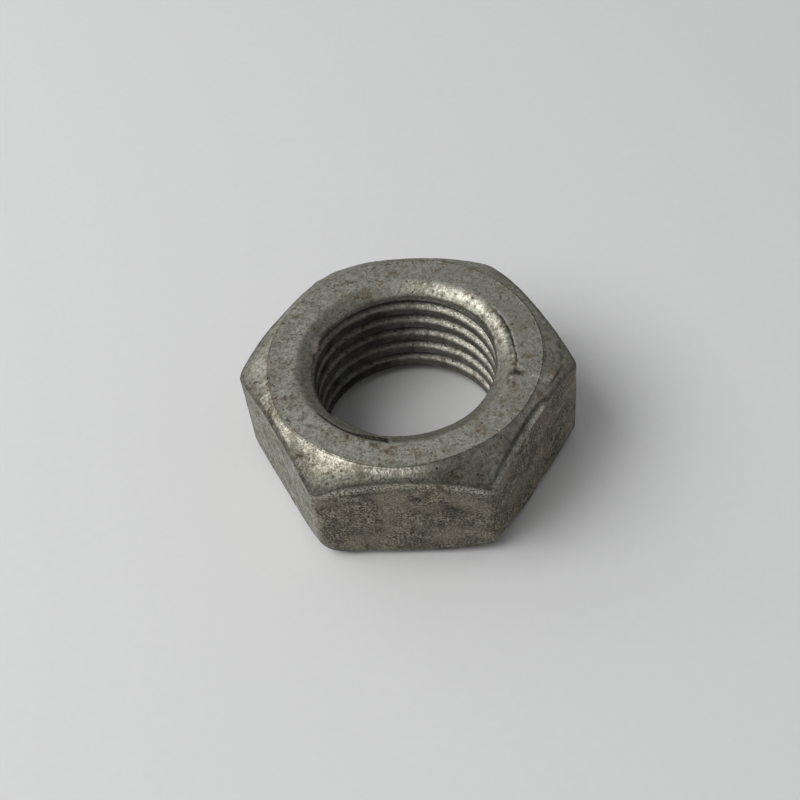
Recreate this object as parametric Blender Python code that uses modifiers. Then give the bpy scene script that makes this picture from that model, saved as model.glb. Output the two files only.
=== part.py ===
"""A thin hexagon nut, 1/2-20 UNF: one forged steel blank, chamfered on both faces and tapped.

Metres, +Z up. The origin is the centre of the lower bearing face, +Z runs along the thread,
and the corners of the hexagon lie on +X and -X, so that one flat faces -Y.
"""

import math

import bmesh
import bpy

# Hexagon blank
ACROSS_FLATS = 0.01905
THICKNESS = 0.00815
CORNER_RADIUS = 0.0006  # round each upright edge
ACROSS_CORNERS = ACROSS_FLATS / math.cos(math.pi / 6)  # before the corners are rounded

# Chamfers: each face is a flat disc, and outside it the blank is turned to a shallow cone
FACE_DIAMETER = 0.01753
TOP_CHAMFER = math.radians(33.0)
BOTTOM_CHAMFER = math.radians(18.0)

# Thread, right-handed, with flat crests and roots
MAJOR_DIAMETER = 0.0127
MINOR_DIAMETER = 0.0116
PITCH = 0.0254 / 20
FLANK = math.radians(30.0)
ROOT_WIDTH = PITCH / 8
THREAD_START = 0.41  # height of the lowest groove above the bearing face on +Y, in pitches

# Countersinks that lead the thread in, one at each face
COUNTERSINK_DIAMETER = 0.01380
COUNTERSINK_HALF_ANGLE = math.radians(55.0)

SEGMENTS = 96  # round the outside
CORNER_SEGMENTS = 4  # round each upright edge
THREAD_SEGMENTS = 48  # round the bore
SHARP_ANGLE = math.radians(12.0)
OVERRUN = 0.001  # how far each cutter stands past the metal it cuts
GROOVE_OVERRUN = 0.0001  # how far the groove's cutter stands inside the bore

STEEL_GREY = (0.30, 0.30, 0.28, 1.0)


def clear_scene():
    """Remove the startup objects and add the two collections."""
    for obj in list(bpy.data.objects):
        bpy.data.objects.remove(obj)
    collections = []
    for name in ("hex_nut", "cutters"):
        collection = bpy.data.collections.new(name)
        bpy.context.scene.collection.children.link(collection)
        collections.append(collection)
    return collections


def add_object(name, mesh, collection):
    obj = bpy.data.objects.new(name, mesh)
    collection.objects.link(obj)
    return obj


def as_cutter(obj):
    obj.hide_render = True
    obj.display_type = "WIRE"
    return obj


def profile_mesh(name, points, closed):
    """A chain of edges in the XZ plane, from (radius, height) points."""
    mesh = bpy.data.meshes.new(name)
    edges = [(i, i + 1) for i in range(len(points) - 1)]
    if closed:
        edges.append((len(points) - 1, 0))
    mesh.from_pydata([(radius, 0.0, height) for radius, height in points], edges, [])
    return mesh


def add_turned(name, points, segments, collection):
    """A turned solid: points run down its outer side, from the axis and back to it."""
    obj = add_object(name, profile_mesh(name, points, closed=False), collection)
    screw = obj.modifiers.new("Turn", "SCREW")
    screw.axis = "Z"
    screw.angle = math.tau
    screw.steps = segments
    screw.render_steps = segments
    screw.use_merge_vertices = True
    screw.merge_threshold = 1e-6
    return as_cutter(obj)


def add_prism(name, collection):
    """The hexagon bar, longer than the nut, with rounded corners on +X and -X."""
    bm = bmesh.new()
    bmesh.ops.create_cone(
        bm,
        cap_ends=True,
        segments=6,
        radius1=ACROSS_CORNERS / 2,
        radius2=ACROSS_CORNERS / 2,
        depth=THICKNESS + 2 * OVERRUN,
    )
    upright = [edge for edge in bm.edges if abs(edge.verts[0].co.z - edge.verts[1].co.z) > THICKNESS]
    bmesh.ops.bevel(
        bm,
        geom=upright,
        offset=CORNER_RADIUS * math.tan(math.pi / 6),
        offset_type="OFFSET",
        segments=CORNER_SEGMENTS,
        profile=0.5,
        affect="EDGES",
    )
    mesh = bpy.data.meshes.new(name)
    bm.to_mesh(mesh)
    bm.free()
    obj = add_object(name, mesh, collection)
    obj.location.z = THICKNESS / 2
    obj.rotation_euler.z = math.pi / 2
    return obj


def add_envelope(collection):
    """The space between the two faces and inside both chamfer cones."""
    face = FACE_DIAMETER / 2
    outside = ACROSS_CORNERS / 2 + OVERRUN
    points = [
        (0.0, THICKNESS),
        (face, THICKNESS),
        (outside, THICKNESS - (outside - face) * math.tan(TOP_CHAMFER)),
        (outside, (outside - face) * math.tan(BOTTOM_CHAMFER)),
        (face, 0.0),
        (0.0, 0.0),
    ]
    return add_turned("chamfer_envelope", points, SEGMENTS, collection)


def add_bore(collection):
    """The drilled hole at the thread's minor diameter, with a countersink at each end."""
    minor = MINOR_DIAMETER / 2
    mouth = COUNTERSINK_DIAMETER / 2
    slope = math.tan(COUNTERSINK_HALF_ANGLE)
    depth = (mouth - minor) / slope
    outside = mouth + OVERRUN * slope
    points = [
        (0.0, THICKNESS + OVERRUN),
        (outside, THICKNESS + OVERRUN),
        (minor, THICKNESS - depth),
        (minor, depth),
        (outside, -OVERRUN),
        (0.0, -OVERRUN),
    ]
    return add_turned("bore_cutter", points, THREAD_SEGMENTS, collection)


def add_groove(collection):
    """The thread's groove, a trapezoid swept along a right-handed helix past both faces."""
    root = MAJOR_DIAMETER / 2
    inner = MINOR_DIAMETER / 2 - GROOVE_OVERRUN
    half_root = ROOT_WIDTH / 2
    half_mouth = half_root + (root - inner) * math.tan(FLANK)
    # The sweep starts on +X, a quarter turn before the side where the start height is given.
    start = (THREAD_START - 0.25 - 1) * PITCH
    turns = math.ceil((THICKNESS - start) / PITCH)
    section = [
        (inner, start + half_mouth),
        (root, start + half_root),
        (root, start - half_root),
        (inner, start - half_mouth),
    ]
    guide = add_object("groove_section", profile_mesh("groove_section", section, True), collection)
    screw = guide.modifiers.new("Helix", "SCREW")
    screw.axis = "Z"
    screw.angle = math.tau
    screw.screw_offset = PITCH
    screw.iterations = turns
    screw.steps = THREAD_SEGMENTS
    screw.render_steps = THREAD_SEGMENTS
    swept = guide.evaluated_get(bpy.context.evaluated_depsgraph_get())
    mesh = bpy.data.meshes.new_from_object(swept)
    bpy.data.objects.remove(guide)
    bm = bmesh.new()
    bm.from_mesh(mesh)
    bmesh.ops.holes_fill(bm, edges=[edge for edge in bm.edges if edge.is_boundary])
    bmesh.ops.recalc_face_normals(bm, faces=bm.faces)
    bm.to_mesh(mesh)
    bm.free()
    return as_cutter(add_object("groove_cutter", mesh, collection))


def add_boolean(obj, cutter, operation):
    boolean = obj.modifiers.new(cutter.name, "BOOLEAN")
    boolean.operation = operation
    boolean.solver = "EXACT"
    boolean.object = cutter


def finish_shape(obj):
    """Make the cuts permanent, and shade the turned surfaces smooth between sharp edges."""
    evaluated = obj.evaluated_get(bpy.context.evaluated_depsgraph_get())
    mesh = bpy.data.meshes.new_from_object(evaluated)
    obj.modifiers.clear()
    obj.data = mesh
    mesh.shade_smooth()
    mesh.set_sharp_from_angle(angle=SHARP_ANGLE)


def steel():
    """Dull zinc-coated steel."""
    material = bpy.data.materials.new("zinc_coated_steel")
    material.use_nodes = True
    shader = material.node_tree.nodes["Principled BSDF"]
    shader.inputs["Base Color"].default_value = STEEL_GREY
    shader.inputs["Metallic"].default_value = 0.85
    shader.inputs["Roughness"].default_value = 0.48
    return material


def build_nut(parts, cutters):
    nut = add_prism("nut_body", parts)
    nut.data.materials.append(steel())
    add_boolean(nut, add_envelope(cutters), "INTERSECT")
    add_boolean(nut, add_bore(cutters), "DIFFERENCE")
    add_boolean(nut, add_groove(cutters), "DIFFERENCE")
    finish_shape(nut)


parts, cutters = clear_scene()
build_nut(parts, cutters)
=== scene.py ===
"""The looks of a hexagon jam nut: one forged, tapped and zinc-coated piece, used and a little dirty.

Metres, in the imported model's frame: the origin is the centre of the lower bearing face, +Z runs along
the thread, and two corners of the hexagon lie on +X and -X. A bearing is an angle round +Z from +X, in
degrees, so the flat that faces the camera is at bearing 270.

The nut is one closed mesh. Rings of points run from a countersink, over a bearing face and its chamfer,
down the six flats and back in to the other countersink. A spiral strip of points joins the two
countersinks through the bore, so that its rows follow the thread.
"""

import math
from types import SimpleNamespace

import bpy
import numpy as np
from mathutils import Matrix, Vector, noise


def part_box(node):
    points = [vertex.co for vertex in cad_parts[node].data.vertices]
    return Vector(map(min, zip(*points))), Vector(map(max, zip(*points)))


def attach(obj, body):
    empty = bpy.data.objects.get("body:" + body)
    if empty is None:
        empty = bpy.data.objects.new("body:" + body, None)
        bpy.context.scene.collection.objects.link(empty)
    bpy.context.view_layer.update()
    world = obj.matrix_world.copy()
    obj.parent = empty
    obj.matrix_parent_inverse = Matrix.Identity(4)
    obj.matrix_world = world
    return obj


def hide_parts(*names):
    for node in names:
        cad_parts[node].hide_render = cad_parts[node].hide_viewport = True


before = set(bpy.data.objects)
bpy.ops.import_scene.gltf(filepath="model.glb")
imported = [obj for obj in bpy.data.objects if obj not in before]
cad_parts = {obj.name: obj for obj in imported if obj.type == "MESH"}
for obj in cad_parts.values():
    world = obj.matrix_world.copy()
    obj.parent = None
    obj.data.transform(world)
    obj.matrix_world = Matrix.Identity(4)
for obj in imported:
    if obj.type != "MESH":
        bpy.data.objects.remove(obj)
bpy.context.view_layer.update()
low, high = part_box("nut_body")

MM = 0.001
UP = Vector((0.0, 0.0, 1.0))

# Blank, from the CAD solid
THICKNESS = high.z - low.z
APOTHEM = (high.y - low.y) / 2
SECTOR = math.pi / 3
FLOOR_SIZE = 2.0
FLOOR_GAP = 0.01 * MM  # so that the lower face doesn't share the floor's plane

# Bearing faces and chamfers
FACE_RADIUS = 8.76 * MM
STEP_DEPTH = 0.05 * MM
BOTTOM_STEP = 0.6  # depth of the lower face's step, as a part of the top one's
STEP_END = 0.12 * MM  # how far out from the face's edge the chamfer's own rows start
TOP_CHAMFER = (0.34, 0.125)  # drop in mm for each mm, and for each mm squared, out from the face
BOTTOM_CHAMFER = (0.26, 0.04)
TOP_EDGE_ROUND = 0.17 * MM
BOTTOM_EDGE_ROUND = 0.35 * MM
CORNER_ROUNDS = (0.8, 0.9, 1.1, 1.2, 0.8, 0.7)  # mm, of the upright corners, from bearing 0

# Thread and countersinks
PITCH = 25.4 * MM / 20
MAJOR_RADIUS = 6.35 * MM
CREST_RADIUS = 5.83 * MM
CREST_ROUND = 0.07 * MM
ROOT_ROUND = 0.10 * MM
ROOT_FLAT = PITCH / 16  # half the width of the groove's flat root
FLANK_SLOPE = math.tan(math.radians(30.0))
THREAD_START = 0.41  # turns from the lower face to the middle of the groove, at bearing 90
LAST_GROOVE = 5.37  # turns of travel after which the top groove is folded shut
CLOSING = 0.012  # turns over which it closes
MOUTH_RADIUS = 6.85 * MM
MOUTH_SLOPE = math.tan(math.radians(55.0))
MOUTH_ROUND = 0.8 * MM
MOUTH_BLEND = 0.03 * MM  # round the line where the thread meets a countersink
COLLAR = 0.36 * MM  # depth of the ring where the spiral strip joins a countersink
BELL_HEIGHTS = (0.0069, 0.0075)  # where the crests open up under the top countersink
LIP_HEIGHTS = (0.0062, 0.0072)  # where the crests are worn or pushed in below it
FOLD_RADIUS = 6.765 * MM  # of the crack beside the folded flap
MOST_PROUD = 0.05 * MM  # how far a mark may stand above the top face

# Grid
COLUMNS = 480
CORNER_CROWDING = 1.6  # added to the columns' density of 1 at a corner
CROWDED_ANGLE = math.radians(5.0)
TOP_MOUTH = (0.36, 0.28, 0.21, 0.16, 0.13, 0.11, 0.09, 0.06, 0.035, 0.018, 0.006, 0.0)  # mm deep
BOTTOM_MOUTH = (0.36, 0.21, 0.11, 0.04, 0.0)
STEP_ROWS = ((-0.015, 0.0), (0.012, 0.5), (0.035, 1.0), (0.06, 1.12), (0.09, 1.03))  # mm out, parts of depth
TOP_FACE_ROWS = 14
BOTTOM_FACE_ROWS = 6
TOP_CHAMFER_ROWS = 13
BOTTOM_CHAMFER_ROWS = 7
EDGE_ROWS = 6
SIDE_ROWS = 26
EXTRA_TURNS = 2  # of the spiral strip, past the bore's two ends
QUARTER_TURN = 0.25  # from +X to bearing 90, where the thread's start is stated
THREAD_ROWS = (0.0, 0.045, 0.08, 0.15, 0.22, 0.28, 0.32, 0.41, 0.5, 0.59, 0.68, 0.72, 0.78, 0.85, 0.92, 0.955)

# Colours, linear, some of them as a dark and a pale one
ZINC = ((0.27, 0.27, 0.235, 1), (0.58, 0.58, 0.515, 1))
CRYSTAL = ((0.075, 0.07, 0.054, 1), (0.39, 0.36, 0.285, 1))
OLIVE = (0.27, 0.26, 0.19, 1)
SPECK = (0.115, 0.088, 0.038, 1)
SCALE = ((0.066, 0.060, 0.043, 1), (0.46, 0.41, 0.32, 1))
DARK_SCALE = (0.075, 0.07, 0.054, 1)
PALE_SCALE = (0.40, 0.35, 0.27, 1)
PIT = (0.05, 0.043, 0.032, 1)
# painted shade inside the bore, deepest in the thread
PAINTED_BORE_SHADE = (0.12, 0.108, 0.09, 1)
# the bright colour of polished scratches and chips, and of painted highlights
POLISH_AND_HIGHLIGHT = (0.80, 0.77, 0.66, 1)
RUST = ((0.11, 0.048, 0.022, 1), (0.42, 0.22, 0.065, 1))
# the dark colour of dirt and of painted shade
GRIME_AND_SHADE = (0.014, 0.013, 0.010, 1)
PAPER = ((0.735, 0.735, 0.735, 1), (0.765, 0.765, 0.765, 1))

# Camera and light
CAMERA_AIM = Vector((-0.61, -0.15, 4.12)) * MM
CAMERA_ANGLES = (-82.28, 49.5, -7.87)  # azimuth, elevation and roll, in degrees
CAMERA_DISTANCE = 85.94 * MM
LENS = 58.8
SENSOR_WIDTH = 36.0
LIGHTS = (  # name, direction from the nut, distance, sides, watts
    ("window", (-0.60, -0.20, 0.80), 0.36, (0.28, 0.28), 0.95),
    ("side_fill", (-0.78, 0.48, 0.55), 0.50, (0.45, 0.35), 0.42),
)
WORLD_COLOUR = (0.98, 1.0, 1.0, 1)
WORLD_STRENGTH = 0.27


def smooth_min(a, b, width):
    h = np.maximum(width - np.abs(a - b), 0.0) / width
    return np.minimum(a, b) - h * h * width / 4


def smooth_max(a, b, width):
    return -smooth_min(-a, -b, width)


def smooth_step(start, end, value):
    t = np.clip((value - start) / (end - start), 0.0, 1.0)
    return t * t * (3 - 2 * t)


def ridge(value, centre, width):
    """1 where the value is at the centre, easing to 0 at about twice the width to either side of it."""
    return np.exp(-(((value - centre) / width) ** 2))


def near(angle, bearing, width):
    """1 at a bearing, easing to 0 at width degrees to either side of it."""
    off = np.abs((np.degrees(angle) - bearing + 180) % 360 - 180)
    return 0.5 + 0.5 * np.cos(math.pi * np.minimum(off / width, 1.0))


def between(angle, start, end, ease):
    """1 between two bearings, easing to 0 over ease degrees outside each."""
    off = (np.degrees(angle) - start) % 360
    span = (end - start) % 360
    past = np.where(off > (span + 360) / 2, 360 - off, np.maximum(off - span, 0.0))
    return 1 - smooth_step(0.0, ease, past)


def from_corner(angle):
    """The angle from the nearest corner of the hexagon."""
    return np.abs((angle + SECTOR / 2) % SECTOR - SECTOR / 2)


def rubbed_arc(angle):
    """1 over the right flat, where the arc between the chamfer and the flat is rubbed round."""
    return between(angle, 304, 333, 6)


def column_angles():
    """Angles round the axis, closer together at the hexagon's corners."""
    fine = np.linspace(0.0, math.tau, 7201)
    density = 1.0 + CORNER_CROWDING * ridge(from_corner(fine), 0.0, CROWDED_ANGLE)
    total = np.concatenate([[0.0], np.cumsum((density[1:] + density[:-1]) / 2)])
    return np.interp(np.arange(COLUMNS) / COLUMNS * total[-1], total, fine)


def side_radius(angle):
    """Distance from the axis to the side of the blank, a worn hexagon with rounded corners."""
    corner = np.round(angle / SECTOR).astype(int) % 6
    round_ = np.array(CORNER_ROUNDS)[corner] * MM
    off = from_corner(angle)
    centre = (APOTHEM - round_) / math.cos(SECTOR / 2)
    on_arc = centre * np.cos(off) + np.sqrt(np.maximum(round_**2 - (centre * np.sin(off)) ** 2, 0.0))
    arc_end = np.arctan2(round_ / 2, centre + round_ * math.cos(SECTOR / 2))
    on_flat = APOTHEM / np.cos(SECTOR / 2 - off)
    worn = 0.02 * near(angle, 206, 34) - 0.05 * near(angle, 30, 25)
    return np.where(off < arc_end, on_arc, on_flat) - worn * MM


def face_radius(angle):
    """The bearing face's edge, turned a little off the axis."""
    off_centre = 0.11 * np.sin(angle)
    waves = 0.03 * np.sin(3 * angle + 0.6) + 0.02 * np.sin(7 * angle) + 0.09 * near(angle, 216, 20)
    return FACE_RADIUS + (off_centre + waves) * MM


def crest_radius(angle, z):
    """The thread's inner radius, which opens up under the top countersink."""
    bell = 0.20 * between(angle, 40, 150, 40) * smooth_step(*BELL_HEIGHTS, z)
    lip = 0.12 * near(angle, 257, 13) + 0.12 * near(angle, 314, 24) - 0.07 * near(angle, 226, 20)
    return CREST_RADIUS + (bell + lip * smooth_step(*LIP_HEIGHTS, z)) * MM


def thread_radius(z, angle):
    """Distance from the axis to the thread's surface, with rounded crests and roots."""
    turn = (angle - math.pi / 2) / math.tau
    phase = z / PITCH - turn - THREAD_START
    groove = np.round(phase)
    from_root = np.abs(phase - groove) * PITCH
    flank = MAJOR_RADIUS - (from_root - ROOT_FLAT) / FLANK_SLOPE
    closing = smooth_step(LAST_GROOVE, LAST_GROOVE + CLOSING, groove + turn)
    flank = flank - closing * 2 * (MAJOR_RADIUS - CREST_RADIUS)
    return smooth_max(smooth_min(flank, MAJOR_RADIUS, ROOT_ROUND), crest_radius(angle, z), CREST_ROUND)


def mouth_radius(depth, angle):
    """The countersink's radius at a depth below its face, rounded over at the face."""
    mouth = MOUTH_RADIUS + 0.10 * MM * near(angle, 2, 22)
    turn = math.pi / 2 - math.atan(MOUTH_SLOPE)
    tangent = MOUTH_ROUND * math.tan(turn / 2)
    over = np.clip(depth, 0.0, MOUTH_ROUND)
    on_arc = mouth + tangent - np.sqrt(2 * MOUTH_ROUND * over - over**2)
    return np.where(depth < MOUTH_ROUND * (1 - math.cos(turn)), on_arc, mouth - depth * MOUTH_SLOPE)


def bore_radius(z, angle):
    """Distance from the axis to the thread or the countersinks, whichever is farther out."""
    cone = np.maximum(mouth_radius(THICKNESS - z, angle), mouth_radius(z, angle))
    return smooth_max(thread_radius(z, angle), cone, MOUTH_BLEND)


def spread(count, ease):
    """count fractions from 0 up to 1, without 1, closer together near both ends as ease grows to 1."""
    t = np.arange(count) / count
    return (1 - ease) * t + ease * (1 - np.cos(math.pi * t)) / 2


def chamfer_drop(out, slopes):
    """How far the chamfer has fallen at a distance out from the edge of the face."""
    return out * slopes[0] + (out / MM) ** 2 * slopes[1] * MM


def chamfer_rows(angle, top):
    """Rows over the step at the edge of a face, its chamfer and the rounded edge of the flats."""
    sign = 1 if top else -1
    face = THICKNESS if top else 0.0
    if top:
        worn = 0.18 * near(angle, 241, 9) + 0.22 * near(angle, 120, 15) + 0.13 * between(angle, 58, 150, 12)
        worn += 0.05 * near(angle, 134, 4) - 0.10 * near(angle, 128, 3)
        step, slopes, count = STEP_DEPTH, TOP_CHAMFER, TOP_CHAMFER_ROWS
        round_ = TOP_EDGE_ROUND * (1 + 1.8 * rubbed_arc(angle))
    else:
        worn = 0.25 * near(angle, 238, 6) - 0.22 * near(angle, 247, 9) + 0.12 * near(angle, 302, 12)
        step, slopes, count = STEP_DEPTH * BOTTOM_STEP, BOTTOM_CHAMFER, BOTTOM_CHAMFER_ROWS
        round_ = BOTTOM_EDGE_ROUND
    worn = worn * MM
    inner = face_radius(angle)
    edge = side_radius(angle)
    rows = [(inner + out * MM, face - sign * step * drop) for out, drop in STEP_ROWS]
    start = inner + STEP_END
    slope = slopes[0] + 2 * slopes[1] * (edge - inner) / MM
    turn = math.pi / 2 - np.arctan(slope)
    tangent = round_ * np.tan(turn / 2)
    end = edge - tangent * np.cos(np.arctan(slope))
    for t in spread(count, 0.4):
        r = start + (end - start) * t
        rows.append((r, face - sign * (step + chamfer_drop(r - inner, slopes) + worn * t**3)))
    corner = face - sign * (step + chamfer_drop(edge - inner, slopes) + worn)
    for i in range(EDGE_ROWS):
        swing = turn * (1 - i / (EDGE_ROWS - 1))
        r = edge - round_ + round_ * np.cos(swing)
        rows.append((r, corner - sign * (tangent - round_ * np.sin(swing))))
    return rows


def face_rows(angle, top):
    """Rows up one countersink and out over its bearing face."""
    sign = 1 if top else -1
    face = THICKNESS if top else 0.0
    depths = TOP_MOUTH if top else BOTTOM_MOUTH
    rows = [(mouth_radius(depth * MM, angle), face - sign * depth * MM) for depth in depths]
    start = rows[-1][0]
    reach = face_radius(angle) - start
    count = TOP_FACE_ROWS if top else BOTTOM_FACE_ROWS
    rows += [(start + reach * t, face) for t in (np.arange(count) + 1) / (count + 0.6)]
    return rows


def ring_rows(angle):
    """(radii, heights, zones): all the rings, from the top collar over the outside to the bottom collar."""
    top_face, top_chamfer = face_rows(angle, True), chamfer_rows(angle, True)
    bottom_chamfer, bottom_face = chamfer_rows(angle, False)[::-1], face_rows(angle, False)[::-1]
    upper, lower = top_chamfer[-1], bottom_chamfer[0]
    side = [(upper[0], upper[1] * (1 - t) + lower[1] * t) for t in spread(SIDE_ROWS, 0.25)[1:]]
    groups = (
        ("face", top_face),
        ("chamfer", top_chamfer),
        ("side", side),
        ("chamfer", bottom_chamfer),
        ("face", bottom_face),
    )
    rows, zones = [], []
    for zone, group in groups:
        rows += [np.broadcast_arrays(r, z, angle)[:2] for r, z in group]
        zones += [zone] * len(group)
    return np.array([r for r, z in rows]), np.array([z for r, z in rows]), zones


def snap_to_cone(z, angles):
    """Move the nearest row of the strip onto the line where the thread's crest meets each countersink."""
    turns = len(z) // COLUMNS
    by_column = z.reshape(turns, COLUMNS, -1).transpose(1, 0, 2).reshape(COLUMNS, -1)
    column = np.arange(COLUMNS)
    collar_radius = mouth_radius(np.full(COLUMNS, COLLAR), angles)
    top_crest = crest_radius(angles, THICKNESS - 0.6 * MM)
    for edge in (
        THICKNESS - (collar_radius - top_crest) / MOUTH_SLOPE - COLLAR,
        (collar_radius - CREST_RADIUS) / MOUTH_SLOPE + COLLAR,
    ):
        by_column[column, np.abs(by_column - edge[:, None]).argmin(1)] = edge
    return by_column.reshape(COLUMNS, turns, -1).transpose(1, 0, 2).reshape(z.shape)


def build_shape():
    """(points, angles, zones, faces) of the clean nut, before wear."""
    angles = column_angles()
    ring_r, ring_z, ring_zones = ring_rows(angles)
    ring_count = len(ring_r)

    # The spiral strip of the thread, which overruns the collars at both ends
    turns = math.ceil(THICKNESS / PITCH) + EXTRA_TURNS
    helix = np.arange(COLUMNS * turns)
    travel = angles[helix % COLUMNS] / math.tau + helix // COLUMNS
    rows = np.array(THREAD_ROWS)
    strip_angle = np.repeat(angles[helix % COLUMNS][:, None], len(rows), 1)
    strip_z = (travel[:, None] + rows[None, :] + THREAD_START - QUARTER_TURN - EXTRA_TURNS) * PITCH
    strip_z = snap_to_cone(strip_z, angles)
    strip_r = bore_radius(np.clip(strip_z, COLLAR, THICKNESS - COLLAR), strip_angle)

    # The strip's points beyond a collar are the collar's own points
    column = np.repeat((helix % COLUMNS)[:, None], len(rows), 1)
    above = strip_z >= THICKNESS - COLLAR
    below = strip_z <= COLLAR
    inside = ~(above | below)
    number = np.where(above, column, column + (ring_count - 1) * COLUMNS)
    number[inside] = ring_count * COLUMNS + np.arange(inside.sum())

    faces = []
    for row in range(ring_count - 1):
        for j in range(COLUMNS):
            k = (j + 1) % COLUMNS
            ring, next_ring = row * COLUMNS, (row + 1) * COLUMNS
            faces.append((ring + j, next_ring + j, next_ring + k, ring + k))
    last = len(rows) - 1
    for i in range(COLUMNS * (turns - 1) - 1):
        for m in range(len(rows)):
            above_m = (i, m + 1) if m < last else (i + COLUMNS, 0)
            above_next = (above_m[0] + 1, above_m[1])
            quad = (number[i, m], number[above_m], number[above_next], number[i + 1, m])
            corners = tuple(dict.fromkeys(int(n) for n in quad))
            if len(corners) > 2:
                faces.append(corners)

    r = np.concatenate([ring_r.ravel(), strip_r[inside]])
    z = np.concatenate([ring_z.ravel(), strip_z[inside]])
    angle = np.concatenate([np.tile(angles, ring_count), strip_angle[inside]])
    zones = np.concatenate([np.repeat(ring_zones, COLUMNS), np.full(inside.sum(), "bore")])
    return np.stack([r * np.cos(angle), r * np.sin(angle), z], 1), angle, zones, faces


def grain(points, size, seed):
    """Smooth noise from -1 to 1 whose lumps are about this size, at each point."""
    shift = Vector((seed * 7.31, seed * 3.77, seed * 1.93))
    return np.array([noise.noise(Vector(p) / size + shift) for p in points])


def on_face(bearing, radius):
    """A point on the top bearing face or, past its edge, above the chamfer. Radius in mm."""
    angle = math.radians(bearing)
    out = max(radius * MM - FACE_RADIUS, 0.0)
    z = THICKNESS - chamfer_drop(out, TOP_CHAMFER)
    return Vector((radius * MM * math.cos(angle), radius * MM * math.sin(angle), z))


def on_flat(bearing, across, height):
    """A point on a flat, across mm from its middle, counterclockwise, and height mm up."""
    angle = math.radians(bearing)
    outward = Vector((math.cos(angle), math.sin(angle), 0.0))
    return outward * APOTHEM + UP.cross(outward) * across * MM + UP * height * MM


def on_cone(bearing, radius):
    """A point on the top countersink. Radius in mm."""
    angle = math.radians(bearing)
    depth = (MOUTH_RADIUS - radius * MM) / MOUTH_SLOPE
    return Vector((radius * MM * math.cos(angle), radius * MM * math.sin(angle), THICKNESS - depth))


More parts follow.
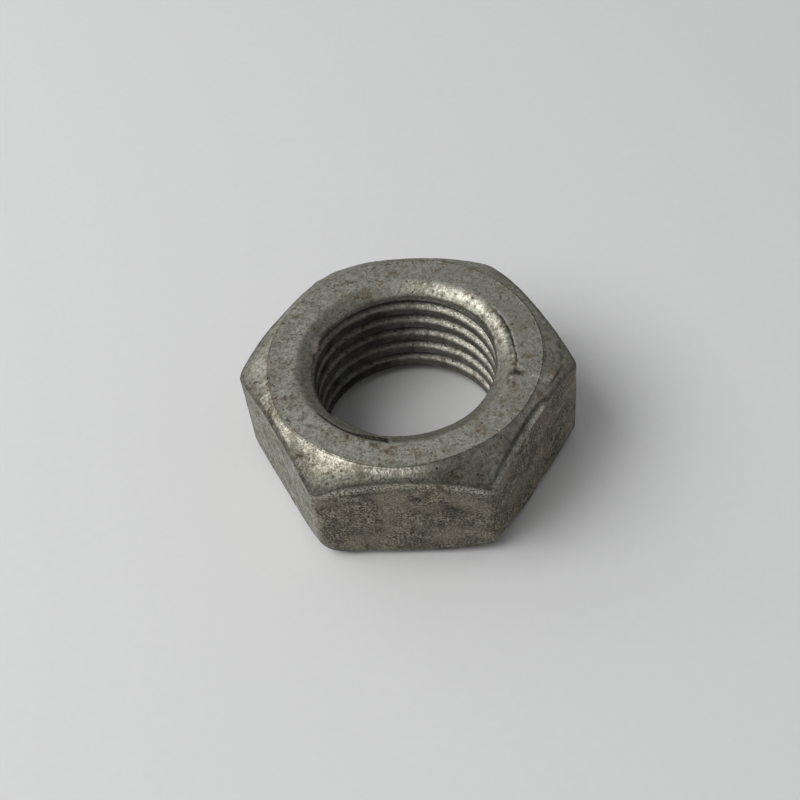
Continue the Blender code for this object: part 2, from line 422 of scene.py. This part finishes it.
# Marks left by handling, with a painted glint and a painted highlight among them: start, end, half width and
# depth in mm, then dirt, rust and shine from 0 to 1
MARKS = (
    (on_flat(270, 2.7, 4.9), on_flat(270, 3.3, 4.7), 0.75, 0.10, 0.55, 0.0, 0.0),
    (on_flat(270, 0.75, 5.95), on_flat(270, 0.95, 5.85), 0.16, 0.06, 1.0, 0.2, 0.0),
    (on_flat(270, 2.2, 7.2), on_flat(270, 2.45, 6.85), 0.2, 0.06, 0.5, 0.9, 0.0),
    (on_flat(270, 1.7, 6.6), on_flat(270, 1.6, 5.9), 0.12, 0.01, 0.2, 0.6, 0.0),
    (on_flat(270, -3.2, 2.4), on_flat(270, -2.9, 2.4), 0.2, 0.03, 0.7, 0.0, 0.0),
    (on_flat(270, -1.8, 3.9), on_flat(270, -1.5, 3.7), 0.12, 0.03, 0.7, 0.3, 0.0),
    (on_flat(270, 0.2, 3.2), on_flat(270, 1.2, 3.6), 0.07, 0.01, 0.0, 0.0, 0.6),
    (on_flat(330, -1.5, 3.6), on_flat(330, -1.1, 4.6), 0.12, 0.02, 0.7, 0.2, 0.0),
    (on_flat(330, 1.4, 4.5), on_flat(330, 1.7, 5.3), 0.3, 0.03, 0.3, 0.2, 0.0),
    (on_flat(90, 1.5, 4.2), on_flat(90, 2.0, 4.6), 0.5, 0.07, 0.4, 0.1, 0.0),
    (on_flat(150, -2.2, 5.0), on_flat(150, -1.0, 3.2), 0.12, 0.03, 0.4, 0.2, 0.0),
    (on_flat(30, 0.8, 2.6), on_flat(30, 2.4, 3.0), 0.14, 0.03, 0.4, 0.2, 0.0),
    (on_face(352.0, 9.49), on_face(351.0, 9.65), 0.30, 0.02, 0.0, 1.0, 0.0),
    (on_face(346.5, 9.1), on_face(349.0, 9.45), 0.26, -0.03, 0.0, 0.15, 1.0),
    (on_face(343.0, 9.45), on_face(357.5, 10.0), 0.09, 0.05, 0.9, 0.1, 0.0),
    (on_face(357.5, 10.0), on_face(7.0, 9.9), 0.09, 0.04, 0.7, 0.1, 0.0),
    (on_face(346.5, 8.10), on_face(346.5, 8.75), 0.13, 0.01, 0.0, 0.0, 1.0),
    (on_face(242.0, 7.08), on_face(243.0, 7.2), 0.15, 0.01, 0.75, 0.9, 0.0),
    (on_face(258.0, 7.22), on_face(255.5, 7.2), 0.13, 0.01, 0.75, 0.8, 0.0),
    (on_face(265.0, 7.3), on_face(268.0, 7.25), 0.13, 0.01, 0.7, 0.8, 0.0),
    (on_face(264.0, 7.7), on_face(266.0, 7.8), 0.24, 0.0, 0.2, 0.9, 0.0),
    (on_face(308.0, 7.68), on_face(309.0, 7.8), 0.26, 0.0, 0.3, 0.6, 0.0),
    (on_face(222.0, 7.9), on_face(224.0, 7.75), 0.14, 0.01, 0.6, 0.5, 0.0),
    (on_face(202.0, 7.97), on_face(203.0, 8.0), 0.14, 0.02, 0.9, 0.2, 0.0),
    (on_face(39.0, 7.99), on_face(38.0, 7.9), 0.13, 0.02, 0.8, 0.3, 0.0),
    (on_face(341.0, 7.3), on_face(338.0, 7.45), 0.14, 0.01, 0.6, 0.7, 0.0),
    (on_face(5.0, 7.45), on_face(6.0, 7.6), 0.12, 0.02, 0.7, 0.1, 0.0),
    (on_face(349.0, 7.15), on_face(347.6, 7.40), 0.30, 0.14, 1.0, 0.1, 0.0),
    (on_face(346.0, 6.98), on_face(343.4, 7.0), 0.20, 0.10, 1.0, 0.0, 0.0),
    (on_face(344.6, 6.98), on_face(343.4, 6.98), 0.13, -0.05, 0.0, 0.0, 1.0),
    (on_cone(263.2, 6.78), on_cone(262.6, 6.35), 0.11, 0.13, 1.0, 0.0, 0.0),
    # painted glint: a bright orange spot on the countersink's left rim, over rust
    (on_cone(163.0, 6.02), on_cone(167.5, 5.92), 0.26, -0.07, 0.0, 0.55, 1.0),
    (on_cone(170.5, 5.90), on_cone(173.0, 5.78), 0.22, 0.12, 1.0, 0.0, 0.0),
    (on_face(252.0, 8.98), on_face(268.0, 8.93), 0.06, 0.02, 0.5, 0.0, 0.0),
    # painted highlight: a bright line along the front of the face's edge
    (on_face(251.0, 8.9), on_face(262.0, 8.87), 0.05, -0.02, 0.0, 0.0, 0.8),
)


def mark_weight(points, start, end, width):
    """1 on the line from start to end, easing to 0 at about twice this half width from it."""
    line = np.array(end - start)
    from_start = points - np.array(start)
    along = np.clip(from_start @ line / max(line @ line, 1e-12), 0.0, 1.0)
    return ridge(np.linalg.norm(from_start - along[:, None] * line, axis=1), 0.0, width)


class Skin:
    """The clean nut's points, with what the wear at each of them depends on."""

    def __init__(self, points, angle, zones):
        self.points = points
        self.angle = angle
        self.zones = zones
        self.r = np.hypot(points[:, 0], points[:, 1])
        self.z = points[:, 2]
        self.out = self.r - face_radius(angle)  # distance out from the face's edge
        self.inward = side_radius(angle) - self.r  # distance in from the side
        self.broad = grain(points, 2.4 * MM, 1)
        self.lumps = grain(points, 0.9 * MM, 2)
        self.fine = grain(points, 0.36 * MM, 3)
        self.face = (zones == "face").astype(float)
        self.chamfer = (zones == "chamfer").astype(float)
        self.side = (zones == "side").astype(float)
        # 1 in the thread, easing to 0 up the top countersink
        self.bore = (zones == "bore") * (1 - smooth_step(-0.85 * MM, -0.6 * MM, self.z - THICKNESS))
        self.groove = ridge(self.out, 0.035 * MM, 0.05 * MM) * (zones != "side")
        self.stained = between(angle, 140, 205, 15)
        # Distance down from the arc where the top chamfer meets the side
        arc_drop = chamfer_drop(side_radius(angle) - face_radius(angle), TOP_CHAMFER)
        self.below_arc = THICKNESS - STEP_DEPTH - arc_drop - self.z


def uneven(skin):
    """Height in mm of the forged and coated surface's waves and lumps."""
    shift = skin.broad * 0.012 + skin.lumps * 0.006 + skin.fine * 0.004
    shift += skin.side * (skin.broad * 0.03 + skin.lumps * 0.016 + skin.fine * 0.010)
    shift += skin.chamfer * (skin.lumps * 0.004 + skin.fine * 0.003)
    shift += skin.bore * (skin.lumps * 0.012 + skin.fine * 0.008)
    return shift


def cracks(skin):
    """(folded flap, its crack, burr's crack, rough band): the marks round the top countersink's mouth."""
    angle, r = skin.angle, skin.r
    top = skin.z > THICKNESS - 0.4 * MM
    flap = (0.06 + 0.12 * near(angle, 256, 20)) * between(angle, 224, 262, 4)
    flap *= smooth_step(6.36 * MM, 6.48 * MM, r) * smooth_step(6.81 * MM, 6.71 * MM, r)
    fold_width = (0.055 + 0.035 * near(angle, 256, 20)) * MM
    fold = 1.5 * between(angle, 220, 261.5, 2.5) * ridge(r, FOLD_RADIUS, fold_width)
    burr_r = (6.97 + 0.17 * near(angle, 353, 15) + 0.05 * skin.fine) * MM
    burr = between(angle, 348, 30, 14) * ridge(r, burr_r, 0.075 * MM)
    rough = between(angle, 349, 24, 8) * ridge(r, 6.83 * MM, 0.16 * MM)
    return flap * top, fold * top, burr * top, rough * top


def edge_lines_and_shade(skin):
    """Dark lines in the groove round each face and along the arcs above the flats, and painted shade over the
    chamfers near the corners.
    """
    angle, inward = skin.angle, skin.inward
    groove = skin.groove * (0.72 + 0.28 * skin.lumps)
    groove *= 1 - 0.7 * between(angle, 222, 245, 6) - 0.35 * skin.stained
    rubbed = rubbed_arc(angle)
    arc = skin.chamfer * (skin.z > THICKNESS / 2)
    arc *= smooth_step(0.34 * MM, 0.16 * MM, inward - 0.2 * MM * rubbed)
    arc *= 1 - rubbed * smooth_step(0.22 * MM, 0.08 * MM, inward)
    arc *= 0.62 + 0.3 * near(angle, 318, 34) + 0.15 * skin.fine
    # Painted shade near the corners, which keeps the chamfers' highlight next to the face
    smudge = skin.chamfer * smooth_step(1.25 * MM, 0.3 * MM, inward) * (from_corner(angle) < math.radians(17))
    smudge *= 0.46 + 0.1 * near(angle, 305, 40)
    smudge *= 0.9 + 0.2 * skin.lumps
    return np.maximum.reduce([groove, arc, smudge])


def broad_painted_shade(skin):
    """Painted shade, darkest on the front-right chamfer; also on the front chamfer away from its face, over
    the flats, most on the right ones, on the top face towards its left and at the top of the bore.
    """
    angle = skin.angle
    film = skin.chamfer * (0.20 * between(angle, 286, 5, 12) + 0.42 * between(angle, 288, 322, 12))
    film += skin.chamfer * 0.3 * between(angle, 255, 285, 8) * smooth_step(0.3 * MM, 0.55 * MM, skin.out)
    film += skin.side * 0.15 * (1 + between(angle, 301, 359, 4) + 0.5 * between(angle, 272, 298, 4))
    film += skin.face * 0.16 * smooth_step(5.0 * MM, -9.0 * MM, skin.points[:, 0])
    film += 0.16 * (skin.zones == "bore") * (skin.z > THICKNESS - 0.75 * MM)
    return film * (0.9 + 0.3 * skin.lumps)


def side_dirt(skin):
    """Dark streaks along the flats: one near the foot, and one below the front arc."""
    foot = skin.side * ridge(skin.z, (0.72 + 0.1 * skin.broad) * MM, 0.12 * MM)
    upper = skin.side * ridge(skin.below_arc, 0.95 * MM, 0.13 * MM) * between(skin.angle, 245, 262, 5)
    return np.maximum(foot * (0.45 + 0.4 * skin.lumps), upper * 0.5)


def thread_painted_shade(skin):
    """Painted shade on the crests and in the roots, most of all on the side away from the light, and on the
    rim.
    """
    angle, r, z = skin.angle, skin.r, skin.z
    crest = smooth_step(6.02 * MM, 5.90 * MM, r) * (0.38 + 0.55 * between(angle, 120, 255, 45))
    root = smooth_step(6.12 * MM, 6.3 * MM, r) * 0.85
    rim = ridge(r - crest_radius(angle, z), 0.02 * MM, 0.05 * MM) * (z > THICKNESS - 0.9 * MM)
    rim = rim * (between(angle, 150, 205, 12) + between(angle, 318, 40, 12)) * 0.75
    return np.maximum(skin.bore * np.maximum(crest, root) * (0.9 + 0.3 * skin.lumps), rim)


def painted_highlights(skin):
    """Painted highlights: beside the face on the front-left chamfer, above and below the arcs, in a streak on
    the countersink at the bore's back right and on the thread's flanks at the right.
    """
    angle, r = skin.angle, skin.r
    band = skin.side * ridge(skin.below_arc, 0.45 * MM, 0.35 * MM)
    band *= 0.10 + 0.42 * between(angle, 245, 296, 10) + 0.15 * skin.lumps
    arc = skin.chamfer * rubbed_arc(angle) * smooth_step(0.22 * MM, 0.06 * MM, skin.inward) * 0.9
    # Painted highlight on the front-left chamfer, next to the face
    rubbed = skin.chamfer * between(angle, 216, 272, 14) * smooth_step(0.75 * MM, 0.05 * MM, skin.out)
    streak = between(angle, 14, 52, 14) * ridge(r, 6.5 * MM, 0.12 * MM) * (skin.z > THICKNESS - MM)
    flanks = skin.bore * 0.3 * between(angle, 340, 75, 25) * smooth_step(5.9 * MM, 6.0 * MM, r)
    return np.maximum.reduce([band, arc, rubbed * (0.35 + 0.4 * skin.lumps), streak * 0.6, flanks])


def wear(skin):
    """(shift along the normal, dirt and painted shade, rust, shine and painted highlights) at each point."""
    fine = skin.fine
    flap, fold, burr, rough = cracks(skin)
    shift = uneven(skin)
    shift += flap - 0.02 * fold - 0.05 * burr + rough * 0.05 * fine
    # Painted shade in the crack beside the folded flap and in the burr's crack, and dark flecks over the
    # rough band
    crack_shade_and_flecks = [fold * 1.3, burr * (1.15 + 0.5 * fine), rough * np.clip(0.35 + 1.1 * fine, 0.0, 0.8)]
    # Dirt, with painted shade in the thread, in the cracks and over parts of the chamfers, flats and top face
    dirt_and_shade = [edge_lines_and_shade(skin), broad_painted_shade(skin), side_dirt(skin), thread_painted_shade(skin)] + crack_shade_and_flecks
    dirt_and_shade = np.maximum.reduce(dirt_and_shade)
    rust = skin.groove * skin.stained * np.clip(0.45 + 0.8 * fine, 0.0, 0.8)
    # Painted highlights; the marks below add polished scratches and chips
    shine_and_highlight = painted_highlights(skin)
    for start, end, width, depth, dirty, rusty, shiny in MARKS:
        weight = mark_weight(skin.points, start, end, width * MM)
        shift -= weight * depth
        dirt_and_shade = np.maximum(dirt_and_shade * (1 - weight * shiny), weight * dirty)
        rust = np.maximum(rust, weight * rusty)
        shine_and_highlight = np.maximum(shine_and_highlight * (1 - weight * dirty), weight * shiny)
    return shift * MM, np.clip(dirt_and_shade, 0, 1), np.clip(rust, 0, 1), np.clip(shine_and_highlight, 0, 1)


def coating_weights(skin):
    """The weights by which the material tells the coating's kinds apart, for each point."""
    cone = smooth_step(7.0 * MM, 6.8 * MM, skin.r) * (skin.z > THICKNESS - 0.8 * MM)
    crystal = skin.chamfer * (0.35 + 0.65 * between(skin.angle, 205, 292, 12)) + 0.55 * cone
    return {
        "chamfer": skin.chamfer,
        "side": skin.side,
        "crystal": np.maximum(crystal, 0.4 * (skin.zones == "bore")),
        "bore": skin.bore,
        "scale": 0.75 + 0.25 * between(skin.angle, 243, 355, 6) - 0.55 * between(skin.angle, 186, 236, 5),
    }


def make_nut():
    points, angle, zones, faces = build_shape()
    mesh = bpy.data.meshes.new("forged_nut")
    mesh.from_pydata(points.tolist(), [], faces)
    mesh.update()
    normals = np.empty(len(points) * 3, np.float32)
    mesh.vertices.foreach_get("normal", normals)
    skin = Skin(points, angle, zones)
    shift, dirt_and_shade, rust, shine_and_highlight = wear(skin)
    worn = points + normals.reshape(-1, 3) * shift[:, None]
    worn[:, 2] = np.clip(worn[:, 2], 0.0, THICKNESS + MOST_PROUD)
    mesh.vertices.foreach_set("co", worn.astype(np.float32).ravel())
    weights = coating_weights(skin) | {"dirt_and_shade": dirt_and_shade, "rust": rust, "shine_and_highlight": shine_and_highlight}
    for name, values in weights.items():
        layer = mesh.attributes.new(name, "FLOAT", "POINT")
        layer.data.foreach_set("value", values.astype(np.float32))
    mesh.update()
    mesh.shade_smooth()
    nut = bpy.data.objects.new("forged_nut", mesh)
    bpy.context.scene.collection.objects.link(nut)
    mesh.materials.append(zinc_material())
    return nut


class Shader:
    """A material's node tree, with short ways to add nodes that feed each other."""

    def __init__(self, name):
        self.material = bpy.data.materials.new(name)
        self.material.use_nodes = True
        self.tree = self.material.node_tree
        self.surface = self.tree.nodes["Principled BSDF"]
        self.place = self.add("TexCoord").outputs["Object"]

    def add(self, kind, inputs=(), **settings):
        made = self.tree.nodes.new("ShaderNode" + kind)
        for name, value in settings.items():
            setattr(made, name, value)
        self.feed(made, dict(inputs))
        return made

    def feed(self, made, inputs):
        for name, value in inputs.items():
            if isinstance(value, bpy.types.NodeSocket):
                self.tree.links.new(value, made.inputs[name])
            else:
                made.inputs[name].default_value = value

    def attribute(self, name):
        return self.add("Attribute", attribute_name=name).outputs["Fac"]

    def math(self, operation, a, b, clamp=False):
        return self.add("Math", {0: a, 1: b}, operation=operation, use_clamp=clamp).outputs[0]

    def plus(self, a, b, clamp=False):
        return self.math("ADD", a, b, clamp)

    def times(self, a, b):
        return self.math("MULTIPLY", a, b)

    def most(self, a, b):
        return self.math("MAXIMUM", a, b)

    def remap(self, value, start, end, low_out=0.0, high_out=1.0):
        inputs = {"Value": value, "From Min": start, "From Max": end, "To Min": low_out, "To Max": high_out}
        return self.add("MapRange", inputs, clamp=True).outputs["Result"]

    def mix(self, amount, a, b):
        return self.add("Mix", {0: amount, 6: a, 7: b}, data_type="RGBA").outputs[2]

    def noise(self, size, detail=2.0, stretch=None, roughness=0.5):
        """Noise from 0 to 1 with lumps of about this size in metres, stretched along X, Y and Z."""
        place = self.place
        if stretch:
            place = self.add("Mapping", {"Vector": place, "Scale": stretch}).outputs[0]
        inputs = {"Vector": place, "Scale": 1 / size, "Detail": detail, "Roughness": roughness}
        return self.add("TexNoise", inputs).outputs["Fac"]

    def cells(self, size, output="Distance"):
        return self.add("TexVoronoi", {"Vector": self.place, "Scale": 1 / size}).outputs[output]


def coating_noises(s):
    """The noises that the coating's layers share."""
    mottle = s.noise(0.36 * MM, 3.0, roughness=0.6)
    fine = s.noise(0.14 * MM, 2.0, roughness=0.6)
    return SimpleNamespace(
        cloud=s.noise(2.0 * MM, 3.0),
        patch=s.noise(0.9 * MM, 4.0, roughness=0.65),
        mottle=mottle,
        fine=fine,
        tone=s.plus(s.times(mottle, 0.5), s.times(fine, 0.5)),
    )


def stain_weight(s, noises, crystal, bore):
    """Where the zinc has brown specks, which gather in patches and thin out on crystals and in the bore."""
    specks = s.times(s.remap(s.noise(0.20 * MM, 1.0), 0.57, 0.64), s.remap(noises.patch, 0.36, 0.54))
    specks = s.times(specks, s.remap(s.most(bore, crystal), 0.0, 1.0, 1.0, 0.25))
    blots = s.times(s.remap(noises.patch, 0.54, 0.64), s.remap(noises.fine, 0.38, 0.55))
    return s.most(specks, blots)


def zinc_colour(s, noises, crystal, stain):
    """Mottled grey, crystalline on the chamfers, with olive clouds and brown specks."""
    zinc = s.mix(s.remap(noises.tone, 0.40, 0.60), *ZINC)
    facets = s.mix(s.remap(s.cells(0.10 * MM, "Color"), 0.3, 0.75), *CRYSTAL)
    zinc = s.mix(s.times(crystal, 0.7), zinc, facets)
    zinc = s.mix(s.times(s.remap(noises.cloud, 0.35, 0.7), 0.4), zinc, OLIVE)
    return s.mix(s.times(stain, 0.85), zinc, SPECK)


def scale_colour(s, noises):
    """Brown and beige grains, in darker and paler patches, for the flats."""
    streak = s.noise(0.22 * MM, 3.0, (1.0, 1.0, 0.3))
    bands = s.noise(0.8 * MM, 4.0, (0.4, 0.4, 1.0))
    grains = s.plus(s.times(noises.fine, 0.65), s.times(noises.mottle, 0.2))
    grains = s.plus(grains, s.times(streak, 0.15))
    scale = s.mix(s.remap(grains, 0.43, 0.58), *SCALE)
    shade = s.most(s.remap(noises.patch, 0.44, 0.58), s.times(s.remap(bands, 0.44, 0.56), 0.8))
    scale = s.mix(s.times(shade, 0.55), scale, DARK_SCALE)
    return s.mix(s.times(s.remap(noises.cloud, 0.52, 0.40), 0.35), scale, PALE_SCALE)


def zinc_material():
    s = Shader("zinc_coated_steel")
    crystal, chamfer, side, bore, scaled = (
        s.attribute(name) for name in ("crystal", "chamfer", "side", "bore", "scale")
    )
    dirt_and_shade, rust, shine_and_highlight = (s.attribute(name) for name in ("dirt_and_shade", "rust", "shine_and_highlight"))
    noises = coating_noises(s)
    fine = noises.fine

    # The coating: zinc, with scale on the flats and a few pits
    stain = stain_weight(s, noises, crystal, bore)
    on_side = s.times(side, scaled)
    colour = s.mix(on_side, zinc_colour(s, noises, crystal, stain), scale_colour(s, noises))
    pits = s.times(s.remap(s.cells(0.5 * MM), 0.20, 0.09), s.remap(noises.cloud, 0.42, 0.6))
    colour = s.mix(s.times(pits, 0.75), colour, PIT)

    # Wear, dirt, painted shade and painted highlights, by the weights that each point carries
    # Painted shade in the bore, deepest in the thread
    colour = s.mix(s.times(bore, 0.35), colour, PAINTED_BORE_SHADE)
    # Polished scratches and chips, and painted highlights
    colour = s.mix(s.times(shine_and_highlight, s.remap(fine, 0.40, 0.58)), colour, POLISH_AND_HIGHLIGHT)
    rusty = s.mix(s.remap(noises.mottle, 0.45, 0.62), *RUST)
    colour = s.mix(s.times(rust, s.remap(fine, 0.3, 0.6)), colour, rusty)
    # Darkened by dirt and by painted shade
    grime_and_shade = s.times(dirt_and_shade, s.remap(fine, 0.15, 0.5, 0.6, 1.0))
    colour = s.mix(grime_and_shade, colour, GRIME_AND_SHADE)

    # Gloss: satin where it is clean, dull under the dirt and the painted shade
    rough = s.remap(noises.tone, 0.35, 0.65, 0.56, 0.42)
    rough = s.plus(rough, s.times(side, 0.14))
    rough = s.plus(rough, s.times(s.most(grime_and_shade, stain), 0.25), clamp=True)
    rough = s.plus(rough, s.times(chamfer, 0.05))
    rough = s.math("SUBTRACT", rough, s.times(shine_and_highlight, 0.12))
    dull = s.most(s.most(grime_and_shade, rust), s.times(stain, 0.6))
    dull = s.plus(s.times(dull, 0.7), s.times(on_side, 0.35))
    metal = s.math("SUBTRACT", 0.95, dull, clamp=True)

    # Relief: a crystalline grain, strongest on the chamfers and on the flats
    height = s.plus(s.times(fine, 0.7), s.times(noises.mottle, 0.4))
    height = s.math("SUBTRACT", height, s.times(pits, 0.8))
    depth = s.plus(0.5, s.plus(s.times(chamfer, 0.7), s.times(on_side, 0.8)))
    depth = s.plus(depth, s.times(bore, 0.6))
    bump = {"Height": s.times(height, depth), "Strength": 1.0, "Distance": 0.045 * MM}
    relief = s.add("Bump", bump).outputs[0]
    s.feed(s.surface, {"Base Color": colour, "Roughness": rough, "Metallic": metal, "Normal": relief})
    s.surface.inputs["Specular IOR Level"].default_value = 0.25
    return s.material


def paper_material():
    s = Shader("paper")
    s.feed(s.surface, {"Base Color": s.mix(s.noise(0.6 * MM), *PAPER)})
    s.surface.inputs["Roughness"].default_value = 0.9
    s.surface.inputs["Specular IOR Level"].default_value = 0.2
    return s.material


def make_floor():
    bpy.ops.mesh.primitive_plane_add(size=FLOOR_SIZE, location=(0, 0, low.z - FLOOR_GAP))
    floor = bpy.context.object
    floor.name = "floor"
    floor.data.materials.append(paper_material())


def make_camera():
    azimuth, elevation, roll = (math.radians(angle) for angle in CAMERA_ANGLES)
    level = Vector((math.cos(azimuth), math.sin(azimuth), 0.0))
    out = level * math.cos(elevation) + UP * math.sin(elevation)
    data = bpy.data.cameras.new("camera")
    data.lens = LENS
    data.sensor_width = SENSOR_WIDTH
    data.clip_start = MM
    camera = bpy.data.objects.new("camera", data)
    bpy.context.scene.collection.objects.link(camera)
    place = Matrix.Translation(CAMERA_AIM + out * CAMERA_DISTANCE)
    facing = out.to_track_quat("Z", "Y").to_matrix().to_4x4()
    camera.matrix_world = place @ facing @ Matrix.Rotation(roll, 4, "Z")
    bpy.context.scene.camera = camera


def add_light(name, direction, distance, size, watts):
    light = bpy.data.lights.new(name, "AREA")
    light.shape = "RECTANGLE"
    light.size, light.size_y = size
    light.energy = watts
    direction = Vector(direction).normalized()
    facing = direction.to_track_quat("Z", "Y").to_matrix().to_4x4()
    obj = bpy.data.objects.new(name, light)
    obj.matrix_world = Matrix.Translation(direction * distance) @ facing
    bpy.context.scene.collection.objects.link(obj)


def make_lights():
    for light in LIGHTS:
        add_light(*light)
    world = bpy.data.worlds.new("world")
    bpy.context.scene.world = world
    world.use_nodes = True
    background = world.node_tree.nodes["Background"]
    background.inputs["Color"].default_value = WORLD_COLOUR
    background.inputs["Strength"].default_value = WORLD_STRENGTH
    bpy.context.scene.view_settings.view_transform = "Standard"


nut = make_nut()
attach(nut, "root")
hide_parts("nut_body")
make_floor()
make_camera()
make_lights()
